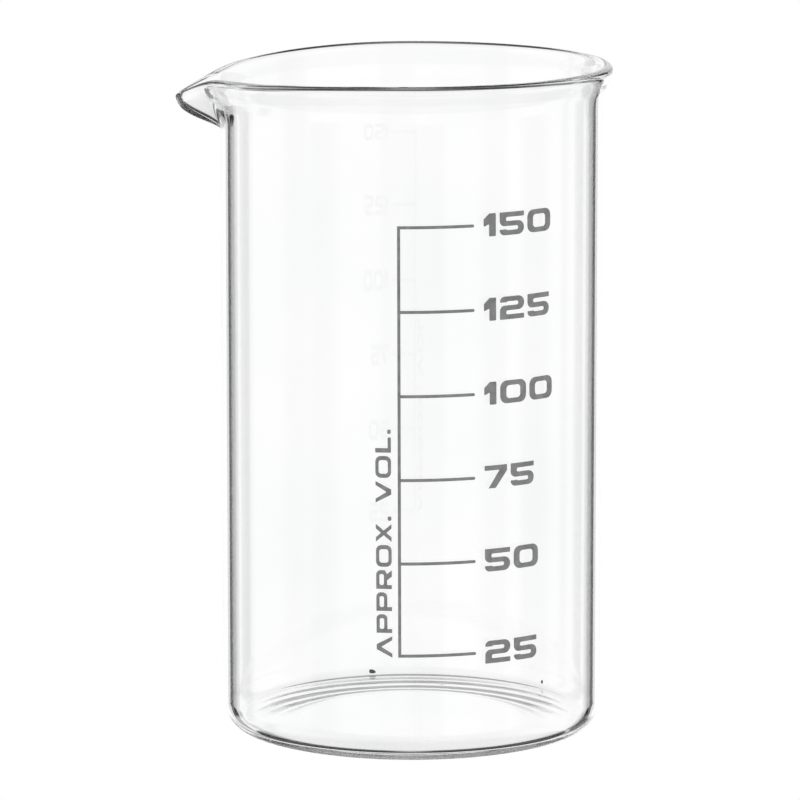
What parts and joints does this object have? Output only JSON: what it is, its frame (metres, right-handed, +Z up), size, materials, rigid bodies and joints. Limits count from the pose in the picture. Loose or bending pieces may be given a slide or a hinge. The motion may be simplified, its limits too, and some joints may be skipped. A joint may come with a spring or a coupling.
{
  "type": "beaker",
  "caption": "Tall-form clear glass laboratory beaker with a flared, beaded rim, a pouring spout and a printed grey volume scale.",
  "frame": {"origin": "on the vessel's axis, at the flat underside that it stands on", "axes": "+Z up along the vessel's axis, -X towards the tip of the pouring spout, -Y out through the printed scale"},
  "size_m": [0.0617, 0.0568, 0.095],
  "materials": {
    "glass": "clear, fire-polished",
    "enamel": "matt fired print"
  },
  "bodies": {
    "root": {"glass_body": "glass", "legend_01_A": "enamel", "legend_02_P": "enamel", "legend_03_P": "enamel", "legend_04_R": "enamel", "legend_05_O": "enamel", "legend_06_X": "enamel", "legend_07_stop": "enamel", "legend_08_V": "enamel", "legend_09_O": "enamel", "legend_10_L": "enamel", "legend_11_stop": "enamel", "numeral_100_digit_1": "enamel", "numeral_100_digit_2": "enamel", "numeral_100_digit_3": "enamel", "numeral_125_digit_1": "enamel", "numeral_125_digit_2": "enamel", "numeral_125_digit_3": "enamel", "numeral_150_digit_1": "enamel", "numeral_150_digit_2": "enamel", "numeral_150_digit_3": "enamel", "numeral_25_digit_1": "enamel", "numeral_25_digit_2": "enamel", "numeral_50_digit_1": "enamel", "numeral_50_digit_2": "enamel", "numeral_75_digit_1": "enamel", "numeral_75_digit_2": "enamel", "scale_lines": "enamel"}
  },
  "joints": []
}
